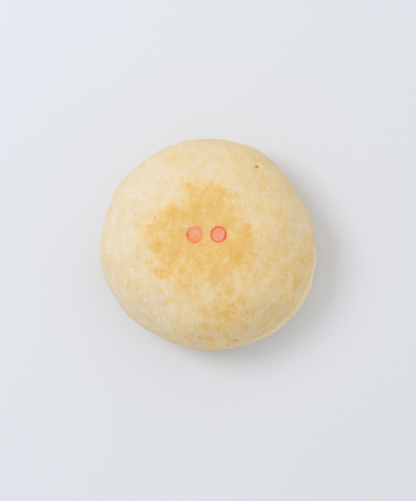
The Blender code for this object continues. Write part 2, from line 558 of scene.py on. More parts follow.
    def browning(self, points: np.ndarray, height: float) -> np.ndarray:
        """How browned each point is: 0 for raw cream and 1 for deep gold.

        From a ground that rises evenly to the front right, 1 - product of (1 - blotch) over the
        touched blotches, whose outlines wander, leads to the deepest brown; the pale ones are
        taken off. The side is paler low down, where the oven's heat from above didn't reach, and
        the underside is browned all over by the tray that it was baked on.

        Args:
            points: points of the cake.
            height: the cake's height.

        Returns:
            One value for each point.
        """
        x, y = points[:, 0] / MM, points[:, 1] / MM
        ground = self.ground + self.ground_slope[0] * x + self.ground_slope[1] * y
        for along_x, along_y in self.wander:
            x = x + along_x.at(points)
            y = y + along_y.at(points)
        spared = np.ones(len(points))
        for blotch in self.touched:
            spared *= 1.0 - blotch.at(x, y)
        pale = sum(blotch.at(x, y) for blotch in self.kept_pale)
        share = points[:, 2] / height
        ground = ground - self.side_paling * (1.0 - ease(*self.paler_below, share))
        browned = (1.0 - spared) * (self.deepest - ground) - pale
        top = ground + browned * ease(*self.browned_above, share)
        under = 1.0 - ease(*self.tray_reach, points[:, 2])
        return np.maximum(top, self.tray_browning * under)

    def flecking(self, points: np.ndarray) -> np.ndarray:
        """How uneven the skin is: least at the back left, most at the front."""
        slope = (points[:, :2] / MM) @ np.array(self.fleck_slope)
        return np.clip(self.fleck + slope, *self.fleck_limits)

    def mottling(self, points: np.ndarray, browning: np.ndarray) -> np.ndarray:
        """How mottled the skin's colour is: the flecking, calmer where the top browned."""
        return self.flecking(points) * (self.raw_mottling - self.mottling_lost * browning)

    def dulling(self, points: np.ndarray) -> np.ndarray:
        """Painted shade: how much darker the colour is made where shade falls on the shoulders, as a
        share taken off it.
        """
        x, y = points[:, 0] / MM, points[:, 1] / MM
        return sum(blotch.at(x, y) for blotch in self.painted_shade_blotches)

    def spotting(self, points: np.ndarray) -> np.ndarray:
        """How much the skin shows large cream spots: most at the front left.

        The fewest spots, plus the rest times exp(-d^4), with d the distance in reaches.

        Args:
            points: points of the cake.

        Returns:
            One share for each point.
        """
        away = points[:, :2] / MM - np.array(self.spot_middle)
        near = np.hypot(away[:, 0], away[:, 1]) / self.spot_reach
        return self.fewest_spots + (1.0 - self.fewest_spots) * np.exp(-(near**4))


@dataclass(frozen=True)
class FootDoughAndLight:
    """Dough that spread out on the tray at the cake's foot and stayed pale, with painted light on it."""

    shown_from: tuple[float, float] = (0.8 * MM, 2.3 * MM)
    top: tuple[float, float] = (4.6 * MM, 7.6 * MM)
    lip: tuple[float, float] = (3.6 * MM, 5.2 * MM)
    underside: tuple[float, float] = (0.8 * MM, 2.0 * MM)
    strength: float = 0.8
    lip_strength: float = 0.35

    def share(self, height: np.ndarray, stands_out: np.ndarray) -> np.ndarray:
        """How much of the pale dough and its painted light shows: all of it on the lip, where the foot
        stands out.

        Args:
            height: height of each point.
            stands_out: how far the foot stands out in that direction.

        Returns:
            One share for each point, a little over 1 where nothing dims it.
        """
        pale = self.strength * (1.0 - ease(*self.top, height))
        pale += self.lip_strength * (1.0 - ease(*self.lip, height))
        return pale * ease(*self.shown_from, stands_out) * ease(*self.underside, height)


@dataclass
class FineRelief:
    """Blisters, grain, flake steps and leaf edges too fine for the solid."""

    blister_spots: ScatteredSpots = ScatteredSpots(1.9 * MM, seed=5)
    blister_reach: float = 0.62
    blister_rise: float = 0.075 * MM
    blister_patches: Waves = Waves(8.0 * MM, 1.0, seed=41)
    blister_patch_limits: tuple[float, float] = (-0.7, 1.0)
    fewest_blisters: float = 0.35
    grain: Waves = Waves(1.5 * MM, 0.022 * MM, seed=47)
    flecked_share: float = 0.55
    flake_waves: tuple[Waves, ...] = (
        Waves(13.0 * MM, 1.0, seed=42),
        Waves(3.0 * MM, 0.12, seed=43),
    )
    flake_step: float = 0.05 * MM
    flake_levels: tuple[float, ...] = (-0.9, -0.2, 0.5, 1.2)
    flake_edge: float = 0.09
    flakes_above: tuple[float, float] = (6.0 * MM, 12.0 * MM)
    leaf_spacing: float = 2.3 * MM
    leaf_rise: float = 0.16 * MM
    leaf_edge: float = 0.85
    leaf_waver: tuple[Waves, ...] = (
        Waves(17.0 * MM, 1.3 * MM, seed=44),
        Waves(5.0 * MM, 0.3 * MM, seed=45),
    )
    leaf_patches: Waves = Waves(9.0 * MM, 1.0, seed=46)
    leaf_patch_limits: tuple[float, float] = (-0.6, 0.9)
    leaves_above: tuple[float, float] = (0.8 * MM, 2.5 * MM)
    leaves_below: tuple[float, float] = (14.0 * MM, 24.0 * MM)
    smooth_below: float = 1.5 * MM

    def blisters(self, points: np.ndarray) -> np.ndarray:
        """Small domes, (1 - (d / reach)^2)^2 round scattered spots, in patches.

        Args:
            points: points of the hand-shaped cake.

        Returns:
            How far each point is lifted.
        """
        distance = self.blister_spots.distance(points)
        dome = np.clip(1.0 - (distance / self.blister_reach) ** 2, 0.0, 1.0) ** 2
        patch = ease(*self.blister_patch_limits, self.blister_patches.at(points))
        return self.blister_rise * dome * (self.fewest_blisters + (1.0 - self.fewest_blisters) * patch)

    def flakes(self, points: np.ndarray) -> np.ndarray:
        """Steps where one leaf of skin ends on the next: a rise at each level of a slow noise.

        Args:
            points: points of the hand-shaped cake.

        Returns:
            How far each point is lifted.
        """
        slow = sum(waves.at(points) for waves in self.flake_waves)
        steps = sum(ease(level, level + self.flake_edge, slow) for level in self.flake_levels)
        return self.flake_step * steps

    def leaf_count(self, points: np.ndarray) -> np.ndarray:
        """How many leaves of the rolled dough lie below each point; they run level, wavering."""
        waver = sum(waves.at(points) for waves in self.leaf_waver)
        return (points[:, 2] + waver) / self.leaf_spacing

    def leafing(self, points: np.ndarray) -> np.ndarray:
        """Where the leaves' edges show: in patches, low on the side.

        Args:
            points: points of the cake.

        Returns:
            A share from 0 to 1 for each point.
        """
        height = points[:, 2]
        patch = ease(*self.leaf_patch_limits, self.leaf_patches.at(points))
        return patch * ease(*self.leaves_above, height) * (1.0 - ease(*self.leaves_below, height))

    def leaves(self, points: np.ndarray) -> np.ndarray:
        """Each leaf swells up to its edge, (s / edge)^2 of its share s, and drops behind it.

        Args:
            points: points of the hand-shaped cake.

        Returns:
            How far each point is lifted.
        """
        count = self.leaf_count(points)
        share = count - np.floor(count)
        swelling = np.clip(share / self.leaf_edge, 0.0, 1.0) ** 2
        profile = swelling * (1.0 - ease(self.leaf_edge, 1.0, share))
        return self.leaf_rise * profile * self.leafing(points)

    def height(self, points: np.ndarray, flecking: np.ndarray) -> np.ndarray:
        """All the fine relief along the surface's normal.

        Args:
            points: points of the hand-shaped cake.
            flecking: how uneven the skin is at each point.

        Returns:
            Blisters and grain scaled by the flecking, plus flake steps and leaf edges.
        """
        uneven = 1.0 - self.flecked_share + self.flecked_share * flecking
        relief = (self.blisters(points) + self.grain.at(points)) * uneven
        relief += self.flakes(points) * ease(*self.flakes_above, points[:, 2])
        relief += self.leaves(points)
        return relief * ease(0.0, self.smooth_below, points[:, 2])


# Colour and node helpers


def linear(colour: str) -> tuple[float, float, float, float]:
    """Turns an sRGB colour to the linear values that Blender works with.

    A part s becomes s / 12.92 up to 0.04045, and ((s + 0.055) / 1.055)^2.4 above it.

    Args:
        colour: the colour as a hex value.

    Returns:
        Red, green, blue and an alpha of 1.
    """
    parts = [int(colour[start : start + 2], 16) / 255.0 for start in (1, 3, 5)]
    red, green, blue = (
        part / 12.92 if part <= 0.04045 else ((part + 0.055) / 1.055) ** 2.4 for part in parts
    )
    return red, green, blue, 1.0


def add_node(
    tree: Tree,
    kind: str,
    inputs: Sequence[Any] | dict[str | int, Any] = (),
    out: str | int = 0,
    **settings: Any,
) -> Output:
    """Adds a shader node with its settings and links.

    Args:
        tree: the material's nodes.
        kind: the node's type name, after the word ShaderNode.
        inputs: a value, or the output that feeds it, for each of the node's inputs in order, or
            for those that are named or numbered.
        out: name or number of the output wanted.
        **settings: the node's own properties.

    Returns:
        That output of the new node.
    """
    node = tree.nodes.new(f"ShaderNode{kind}")
    for name, value in settings.items():
        setattr(node, name, value)
    for key, value in inputs.items() if isinstance(inputs, dict) else enumerate(inputs):
        if isinstance(value, Output):
            tree.links.new(value, node.inputs[key])
        else:
            node.inputs[key].default_value = value
    return node.outputs[out]


def coated(tree: Tree, colour: Output, coats: Sequence[Coat]) -> Output:
    """Lays colours over one another: below + share * (coat - below), coat by coat.

    Args:
        tree: the material's nodes.
        colour: the colour below.
        coats: the coats, from the lowest up.

    Returns:
        The colour on top.
    """
    for share, shade in coats:
        inputs = {MIX_SHARE: share, MIX_BELOW: colour, MIX_ABOVE: linear(shade)}
        colour = add_node(tree, "Mix", inputs, MIX_RESULT, data_type="RGBA", clamp_factor=True)
    return colour


# The crust's finish


@dataclass(frozen=True)
class Patches:
    """Patches of soft noise: their width in millimetres, and how fine and how rough they are."""

    width: float
    detail: float = 2.0
    roughness: float = 0.5

    def over(self, place: Output) -> dict[str, Any]:
        """What a noise node takes for them, at a position in millimetres."""
        scale = 1.0 / self.width
        return {"Vector": place, "Scale": scale, "Detail": self.detail, "Roughness": self.roughness}


@dataclass(frozen=True)
class Skin:
    """What every pattern on the crust starts from, in its material's nodes."""

    tree: Tree
    place: Output
    baked: dict[Layer, Output]
    leaf_share: Output

    @classmethod
    def of(cls, tree: Tree) -> Skin:
        """Adds the position and the mesh's layers to a material's nodes.

        Args:
            tree: the material's nodes.

        Returns:
            The position in millimetres, the layers, and how far each point is up its leaf of
            dough, from 0 to 1.
        """
        inputs = {0: add_node(tree, "TexCoord", out="Object"), "Scale": 1.0 / MM}
        place = add_node(tree, "VectorMath", inputs, operation="SCALE")
        baked = {
            layer: add_node(tree, "Attribute", out="Fac", attribute_name=layer.value)
            for layer in Layer
        }
        leaf_share = add_node(tree, "Math", (baked[Layer.LEAF],), operation="FRACT")
        return cls(tree, place, baked, leaf_share)

    def oval_distance(self, centre: Sequence[float], reach: Sequence[float]) -> Output:
        """Distance from a centre, in reaches: |(p - c) / reach| as seen from above.

        Args:
            centre: x and y of the oval's middle, in millimetres.
            reach: its half widths along x and y, in millimetres.

        Returns:
            The distance, 1 on the oval.
        """
        scale = (1.0 / reach[0], 1.0 / reach[1], 0.0)
        shift = (-centre[0] / reach[0], -centre[1] / reach[1], 0.0)
        away = add_node(self.tree, "VectorMath", (self.place, scale, shift), operation="MULTIPLY_ADD")
        return add_node(self.tree, "VectorMath", (away,), out="Value", operation="LENGTH")

    def direction_from(self, centre: Sequence[float]) -> Output:
        """The level unit vector from a centre, (p - c) / |p - c|.

        Args:
            centre: x and y of the centre, in millimetres.

        Returns:
            The direction of each point.
        """
        shift = (-centre[0], -centre[1], 0.0)
        inputs = (self.place, (1.0, 1.0, 0.0), shift)
        away = add_node(self.tree, "VectorMath", inputs, operation="MULTIPLY_ADD")
        return add_node(self.tree, "VectorMath", (away,), operation="NORMALIZE")


@dataclass(frozen=True)
class Mottling:
    """How the bake varies from spot to spot over dry, floury skin, with sizes in millimetres.

    To the eye it is clouds of gold with raw flecks and cream spots in them, and low on the side
    pale leaf edges over gaps darkened with painted shade. The clouds are drawn out a little from front to
    back.
    """

    draw: tuple[float, float, float] = (1.2, 0.8, 1.0)
    clouds: tuple[tuple[Patches, float], ...] = (
        (Patches(7.0, detail=0.0), 0.30),
        (Patches(3.2, detail=0.0), 0.84),
        (Patches(1.5, detail=0.0), 0.84),
        (Patches(0.7, detail=0.0), 0.62),
    )
    fleck: Patches = Patches(1.5, detail=1.5, roughness=0.6)
    fleck_limits: tuple[float, float] = (0.56, 0.7)
    fleck_paling: float = 0.6
    raw_flecks: float = 1.2
    browned_flecks: float = 0.65
    spot_spacing: float = 3.8
    spot_raggedness: float = 0.5
    spot_limits: tuple[float, float] = (0.62, 0.4)
    spot_paling: float = 0.5
    edge_rise: tuple[float, float] = (0.72, 0.86)
    edge_fall: tuple[float, float] = (1.0, 0.92)
    edge_paling: float = 0.3
    # Painted shade in the gap above each leaf's edge
    gap_shade_limits: tuple[float, float] = (0.22, 0.0)
    gap_painted_shade: float = 0.35
    browned_drift: float = 0.4

    def leaf_edges(self, skin: Skin) -> Output:
        """Painted shade in the gap above each leaf's edge, as a golder line, less the paling along the
        edge itself.

        Args:
            skin: what the pattern starts from.

        Returns:
            What the leaves add to the bake's level.
        """
        tree, share = skin.tree, skin.leaf_share
        rise = add_node(tree, "MapRange", (share, *self.edge_rise), **EASED)
        fall = add_node(tree, "MapRange", (share, *self.edge_fall), **EASED)
        edge = add_node(tree, "Math", (rise, fall), operation="MULTIPLY")
        # Painted shade: a golder line in the gap above each leaf's edge, where shade falls
        gap_shade = add_node(tree, "MapRange", (share, *self.gap_shade_limits, 0.0, self.gap_painted_shade), **EASED)
        return add_node(tree, "Math", (edge, -self.edge_paling, gap_shade), operation="MULTIPLY_ADD")

    def flecks_and_spots(self, skin: Skin, place: Output) -> Output:
        """Raw flecks, fewer where the top browned, and ragged cream spots.

        Args:
            skin: what the pattern starts from.
            place: the drawn-out position.

        Returns:
            What they add to the bake's level, which is below zero.
        """
        tree = skin.tree
        speck = add_node(tree, "TexNoise", self.fleck.over(place))
        flecks = add_node(tree, "MapRange", (speck, *self.fleck_limits), **EASED)
        inputs = (skin.baked[Layer.BROWNING], self.browned_flecks - self.raw_flecks, self.raw_flecks)
        raw = add_node(tree, "Math", inputs, operation="MULTIPLY_ADD")
        flecks = add_node(tree, "Math", (flecks, raw), operation="MULTIPLY")
        paling = add_node(tree, "Math", (flecks, -self.fleck_paling), operation="MULTIPLY")

        cell = add_node(tree, "TexVoronoi", {"Vector": place, "Scale": 1.0 / self.spot_spacing})
        cell = add_node(tree, "Math", (speck, self.spot_raggedness, cell), operation="MULTIPLY_ADD")
        spots = add_node(tree, "MapRange", (cell, *self.spot_limits), **EASED)
        spots = add_node(tree, "Math", (spots, skin.baked[Layer.SPOTTING]), operation="MULTIPLY")
        return add_node(tree, "Math", (spots, -self.spot_paling, paling), operation="MULTIPLY_ADD")

    def levels(self, skin: Skin) -> tuple[Output, Output]:
        """The bake's level, and its fine part alone, which is weaker where the top browned.

        The fine part is the flecking times the flecks, spots and clouds, plus the leaf edges
        and the painted shade in their gaps where they show. The level is the browning plus that.

        Args:
            skin: what the pattern starts from.

        Returns:
            The level, 0 for raw cream and 1 for deep gold, and the fine part.
        """
        tree, baked = skin.tree, skin.baked
        place = add_node(tree, "VectorMath", (skin.place, self.draw), operation="MULTIPLY")
        fine = self.flecks_and_spots(skin, place)
        for patches, strength in self.clouds:
            cloud = add_node(tree, "TexNoise", patches.over(place))
            centred = add_node(tree, "Math", (cloud, 0.5), operation="SUBTRACT")
            fine = add_node(tree, "Math", (centred, strength, fine), operation="MULTIPLY_ADD")
        fine = add_node(tree, "Math", (fine, baked[Layer.FLECKING]), operation="MULTIPLY")
        inputs = (self.leaf_edges(skin), baked[Layer.LEAFING], fine)
        fine = add_node(tree, "Math", inputs, operation="MULTIPLY_ADD")
        level = add_node(tree, "Math", (baked[Layer.BROWNING], fine), operation="ADD")
        inputs = (baked[Layer.BROWNING], self.browned_drift - 1.0, 1.0)
        paleness = add_node(tree, "Math", inputs, operation="MULTIPLY_ADD")
        return level, add_node(tree, "Math", (fine, paleness), operation="MULTIPLY")


@dataclass(frozen=True)
class StampDye:
    """Red food dye that soaked into the dry skin, with sizes in millimetres.

    To the eye it is a matt pink wash, patchy and pooled at the front, inside a redder ring where
    the stick's rim pressed, and it bleeds faintly into the crust round it. Limits on the distance
    are in radii of the stamp.
    """

    ovalness: float = 1.02
    waver: Patches = Patches(1.6)
    waver_reach: float = 0.14
    halo_rise: tuple[float, float] = (0.9, 1.1)
    halo_fall: tuple[float, float] = (1.45, 1.25)
    halo_strength: float = 0.14
    halo_colour: str = "#F6B890"
    pooled_towards: float = 270.0
    pooled_limits: tuple[float, float] = (-0.5, 0.9)
    thin_patches: Patches = Patches(0.85, roughness=0.7)
    ring_wear: Patches = Patches(0.9, roughness=0.6)
    ring_wear_limits: tuple[float, float] = (0.35, 0.6)
    ring_kept: float = 0.65
    press_limits: tuple[float, float] = (0.6, 1.0)
    drop_limits: tuple[float, float] = (1.25, 0.6)
    drop_strength: float = 0.9

    def distance(self, skin: Skin, stamp: Stamp) -> Output:
        """Distance from the stamp's middle in its radii, made to waver by noise.

        Args:
            skin: what the pattern starts from.
            stamp: the stamp.

        Returns:
            The distance, about 1 at the stamp's edge.
        """
        radius = stamp.radius / MM
        away = skin.oval_distance((stamp.x / MM, stamp.y / MM), (radius, radius * self.ovalness))
        noise = add_node(skin.tree, "TexNoise", self.waver.over(skin.place))
        inputs = (noise, self.waver_reach, -0.5 * self.waver_reach)
        waver = add_node(skin.tree, "Math", inputs, operation="MULTIPLY_ADD")
        return add_node(skin.tree, "Math", (away, waver), operation="ADD")

    def halo(self, skin: Skin, away: Output) -> Output:
        """How much dye bled into the crust: a faint ring outside the stamp.

        Args:
            skin: what the pattern starts from.
            away: distance from the stamp's middle, in its radii.

        Returns:
            The share of the halo's colour.
        """
        fall = add_node(skin.tree, "MapRange", (away, *self.halo_fall), **EASED)
        inputs = (away, *self.halo_rise, 0.0, self.halo_strength)
        rise = add_node(skin.tree, "MapRange", inputs, **EASED)
        return add_node(skin.tree, "Math", (fall, rise), operation="MULTIPLY")

    def ring(self, skin: Skin, away: Output, stamp: Stamp) -> Output:
        """Where the stick's rim pressed: a band inside the edge, worn in patches.

        Args:
            skin: what the pattern starts from.
            away: distance from the stamp's middle, in its radii.
            stamp: the stamp.

        Returns:
            A share from 0 to 1.
        """
        tree = skin.tree
        half = 0.5 * stamp.ring_width / stamp.radius
        soft = 0.5 * stamp.ring_softness / stamp.radius
        off_ring = add_node(tree, "Math", (away, half - 1.0), operation="ADD")
        off_ring = add_node(tree, "Math", (off_ring,), operation="ABSOLUTE")
        band = add_node(tree, "MapRange", (off_ring, half + soft, max(half - soft, 0.0)), **EASED)
        wear = add_node(tree, "TexNoise", self.ring_wear.over(skin.place))
        inputs = (wear, *self.ring_wear_limits, self.ring_kept, 1.0)
        kept = add_node(tree, "MapRange", inputs, **EASED)
        return add_node(tree, "Math", (band, kept), operation="MULTIPLY")

    def towards(self, skin: Skin, way: Output, degrees: float, limits: Sequence[float]) -> Output:
        """How squarely a point lies in one direction: the cosine to it, eased between limits.

        Args:
            skin: what the pattern starts from.
            way: each point's direction from the stamp's middle.
            degrees: the direction.
            limits: cosines at which the share is 0 and 1.

        Returns:
            A share from 0 to 1.
        """
        turn = math.radians(degrees)
        inputs = (way, (math.cos(turn), math.sin(turn), 0.0))
        cosine = add_node(skin.tree, "VectorMath", inputs, out="Value", operation="DOT_PRODUCT")
        return add_node(skin.tree, "MapRange", (cosine, *limits), **EASED)

    def wash(self, skin: Skin, away: Output, way: Output, stamp: Stamp) -> list[Coat]:
        """The dye inside the ring, pooled to one side and thin in patches.

        Args:
            skin: what the pattern starts from.
            away: distance from the stamp's middle, in its radii.
            way: each point's direction from the stamp's middle.
            stamp: the stamp.

        Returns:
            The coats, from the lowest up.
        """
        tree = skin.tree
        inner = 1.0 - stamp.ring_softness / stamp.radius
        fill = add_node(tree, "MapRange", (away, 1.0, inner, 0.0, stamp.fill_strength), **EASED)
        pooled = self.towards(skin, way, self.pooled_towards, self.pooled_limits)
        noise = add_node(tree, "TexNoise", self.thin_patches.over(skin.place))
        thin = add_node(tree, "MapRange", (noise, *stamp.thinning), **EASED)
        coats = [(fill, stamp.fill_colour)]
        for share, shade in ((pooled, stamp.pooled_colour), (thin, stamp.thin_colour)):
            coats.append((add_node(tree, "Math", (share, fill), operation="MULTIPLY"), shade))
        return coats

    def pressed(self, skin: Skin, away: Output, way: Output, stamp: Stamp) -> list[Coat]:
        """The ring, and over it the stretches where the stick pressed harder.

        Args:
            skin: what the pattern starts from.
            away: distance from the stamp's middle, in its radii.
            way: each point's direction from the stamp's middle.
            stamp: the stamp.

        Returns:
            The coats, from the lowest up.
        """
        tree = skin.tree
        ring = self.ring(skin, away, stamp)
        even = add_node(tree, "Math", (ring, stamp.ring_strength), operation="MULTIPLY")
        coats = [(even, stamp.ring_colour)]
        for press in stamp.presses:
            near = self.towards(skin, way, press.direction, self.press_limits)
            near = add_node(tree, "Math", (near, press.strength), operation="MULTIPLY")
            coats.append((add_node(tree, "Math", (ring, near), operation="MULTIPLY"), press.colour))
        return coats

    def laid_on(self, skin: Skin, colour: Output, stamp: Stamp) -> Output:
        """The dyed colour: the halo, the wash, the ring and the drop, one over another.

        Args:
            skin: what the pattern starts from.
            colour: the colour below.
            stamp: the stamp's sizes and colours.

        Returns:
            The output that holds the dyed colour.
        """
        away = self.distance(skin, stamp)
        way = skin.direction_from((stamp.x / MM, stamp.y / MM))
        coats = [(self.halo(skin, away), self.halo_colour)]
        coats += self.wash(skin, away, way, stamp)
        coats += self.pressed(skin, away, way, stamp)
        if stamp.drop is not None:
            x, y, size = (value / MM for value in stamp.drop)
            from_drop = skin.oval_distance((x, y), (size, size))
            inputs = (from_drop, *self.drop_limits, 0.0, self.drop_strength)
            drop = add_node(skin.tree, "MapRange", inputs, **EASED)
            coats.append((drop, stamp.drop_colour))
        return coated(skin.tree, colour, coats)


@dataclass(frozen=True)
class FlourGrain:
    """Bump of dry flour grain, tiny bubbles and leaf edges, in millimetres.

    To the eye it makes the crust dry and a little sandy. Real grains of flour are under 0.1 mm,
    too fine to show, so the grain is drawn 0.45 mm wide.
    """

    grain: Patches = Patches(0.45, detail=3.0, roughness=0.6)
    grain_rise: float = 0.12
    bubbles: Patches = Patches(0.75)
    bubble_rise: float = 0.14
    edge_limits: tuple[float, float] = (1.0, 0.86)
    edge_rise: float = 0.12
    raw_strength: float = 1.1
    browned_strength: float = 0.6

    def normal(self, skin: Skin) -> Output:
        """The bumped normal, from the sum of the three heights, weaker where the top browned.

        Args:
            skin: what the pattern starts from.

        Returns:
            The normal.
        """
        tree = skin.tree
        grain = add_node(tree, "TexNoise", self.grain.over(skin.place))
        bubbles = add_node(tree, "TexNoise", self.bubbles.over(skin.place))
        height = add_node(tree, "Math", (grain, self.grain_rise), operation="MULTIPLY")
        inputs = (bubbles, self.bubble_rise, height)
        height = add_node(tree, "Math", inputs, operation="MULTIPLY_ADD")
        inputs = (skin.leaf_share, *self.edge_limits, 0.0, self.edge_rise)
        edge = add_node(tree, "MapRange", inputs, **EASED)
        inputs = (edge, skin.baked[Layer.LEAFING], height)
        height = add_node(tree, "Math", inputs, operation="MULTIPLY_ADD")
        slope = self.browned_strength - self.raw_strength
        inputs = (skin.baked[Layer.BROWNING], slope, self.raw_strength)
        strength = add_node(tree, "Math", inputs, operation="MULTIPLY_ADD")
        return add_node(tree, "Bump", {"Height": height, "Distance": MM, "Strength": strength})


@dataclass(frozen=True)
class Pit:
    """A pinhole, a scar, or painted shade by a curled flake edge, in millimetres, with its colour and how
    strong that is.
    """

    x: float
    y: float
    reach_x: float
    reach_y: float
    strength: float
    colour: str = "#C68C38"


@dataclass(frozen=True)
class BakedCrust:
    """Thin leaves of lard dough, rolled and baked dry: matt, pale, mottled with gold.

    Light sinks a little way into the dry leaves, which softens the grain. A browned top is
    slightly less matt, because the lard came out of it.
    """

    stamps: tuple[Stamp, ...]
    mottling: Mottling = Mottling()
    dye: StampDye = StampDye()
    grain: FlourGrain = FlourGrain()
    shades: tuple[tuple[float, str], ...] = (
        (-0.5, "#F1E5D4"),
        (-0.25, "#F0E3CE"),
        (0.0, "#F0E0C1"),
        (0.25, "#F2DDB2"),
        (0.5, "#F4D9A2"),
        (0.75, "#F4D18C"),
        (1.0, "#F2C772"),
        (1.25, "#EFBE5C"),
    )
    red_drift: float = -0.11
    drift_floor: float = -0.4
    # Pale dough, made near white as painted light on the foot
    foot_colour: str = "#FFECC0"
    foot_patches: Patches = Patches(1.6)
    foot_patch_limits: tuple[float, float] = (0.3, 0.52)
    foot_kept: float = 0.7
    pits_and_flake_shade: tuple[Pit, ...] = (
        Pit(17.5, 27.3, 0.6, 0.45, 0.45, "#FBEACB"),
        Pit(16.0, 27.0, 0.95, 0.9, 0.35, "#D89440"),
        Pit(16.4, 27.0, 0.45, 0.4, 1.0, "#BE6C00"),
        Pit(8.3, -23.0, 0.26, 0.34, 0.6),
        Pit(9.4, -32.8, 0.85, 0.32, 0.6),
        Pit(6.2, -34.5, 0.55, 0.3, 0.5),
        Pit(-31.0, 9.8, 0.3, 0.3, 0.5, "#E0A070"),
        Pit(9.1, 18.1, 0.25, 0.25, 0.6, "#D09A6A"),
        # Painted shade: a grey-brown curl along a lifted flake edge, in two parts
        Pit(-18.4, 9.4, 0.25, 0.9, 0.45, "#C0A878"),
        Pit(-17.6, 8.4, 0.2, 0.5, 0.35, "#C0A878"),
    )
    pit_limits: tuple[float, float] = (1.3, 0.5)
    roughness: float = 0.62
    browned_roughness: float = 0.5
    index_of_refraction: float = 1.45
    light_sinks_in: float = 0.25
    sinking_depth: float = 1.2 * MM
    sinking_colours: tuple[float, float, float] = (1.0, 0.65, 0.35)

    def material(self) -> bpy.types.Material:
        """Builds the crust's material.

        Returns:
            A material whose colour follows the bake, mottled by noise on object coordinates.
        """
        material = bpy.data.materials.new("baked_flaky_pastry")
        material.use_nodes = True
        tree = material.node_tree
        skin = Skin.of(tree)
        level, fine = self.mottling.levels(skin)
        colour = self.baked_and_shaded_colour(skin, level, fine)
        colour = coated(tree, colour, [self.foot_coat(skin), *self.pit_coats(skin)])
        for stamp in self.stamps:
            colour = self.dye.laid_on(skin, colour, stamp)
        inputs = (level, 0.0, 1.0, self.roughness, self.browned_roughness)
        roughness = add_node(tree, "MapRange", inputs)

        shader = tree.nodes["Principled BSDF"]
        tree.links.new(colour, shader.inputs["Base Color"])
        tree.links.new(roughness, shader.inputs["Roughness"])
        tree.links.new(self.grain.normal(skin), shader.inputs["Normal"])
        shader.inputs["IOR"].default_value = self.index_of_refraction
        shader.inputs["Subsurface Weight"].default_value = self.light_sinks_in
        shader.inputs["Subsurface Radius"].default_value = self.sinking_colours
        shader.inputs["Subsurface Scale"].default_value = self.sinking_depth
        return material

    def baked_and_shaded_colour(self, skin: Skin, level: Output, fine: Output) -> Output:
        """Shades of the bake, redder in pale specks and darkened by painted shade on the shoulders.

        The shade at the level, plus the fine part, no lower than its floor, times the drift of
        the red, and the sum times 1 - painted shade.

        Args:
            skin: what the pattern starts from.
            level: the bake's level.
            fine: its fine part.

        Returns:
            The crust's colour.
        """
        tree = skin.tree
        lowest, highest = self.shades[0][0], self.shades[-1][0]
        share = add_node(tree, "MapRange", (level, lowest, highest))
        shade = add_node(tree, "ValToRGB", (share,))
        stops = shade.node.color_ramp.elements
        while len(stops) < len(self.shades):
            stops.new(1.0)
        for stop, (where, colour) in zip(stops, self.shades):
            stop.position = (where - lowest) / (highest - lowest)
            stop.color = linear(colour)
        fine = add_node(tree, "Math", (fine, self.drift_floor), operation="MAXIMUM")
        inputs = (fine, (self.red_drift, 0.0, 0.0), shade)
        drifted = add_node(tree, "VectorMath", inputs, operation="MULTIPLY_ADD")
        # Painted shade: the colour times 1 less the shade's share
        kept = add_node(tree, "Math", (1.0, skin.baked[Layer.DULLING]), operation="SUBTRACT")
        return add_node(tree, "VectorMath", {0: drifted, "Scale": kept}, operation="SCALE")

    def foot_coat(self, skin: Skin) -> Coat:
        """The foot's pale dough, near white as painted light, a little patchy.

        Args:
            skin: what the pattern starts from.

        Returns:
            Its share and its colour.
        """
        noise = add_node(skin.tree, "TexNoise", self.foot_patches.over(skin.place))
        inputs = (noise, *self.foot_patch_limits, self.foot_kept, 1.0)
        kept = add_node(skin.tree, "MapRange", inputs, **EASED)
        share = add_node(skin.tree, "Math", (kept, skin.baked[Layer.FOOT]), operation="MULTIPLY")
        return share, self.foot_colour

    def pit_coats(self, skin: Skin) -> list[Coat]:
        """Dots where the skin burst, the dry skin that lifted beside one, and painted shade along a
        curled flake edge.

        Args:
            skin: what the pattern starts from.

        Returns:
            Each one's share and its colour.
        """
        coats = []
        for pit in self.pits_and_flake_shade:
            away = skin.oval_distance((pit.x, pit.y), (pit.reach_x, pit.reach_y))
            inputs = (away, *self.pit_limits, 0.0, pit.strength)
            coats.append((add_node(skin.tree, "MapRange", inputs, **EASED), pit.colour))
        return coats


# The whole cake


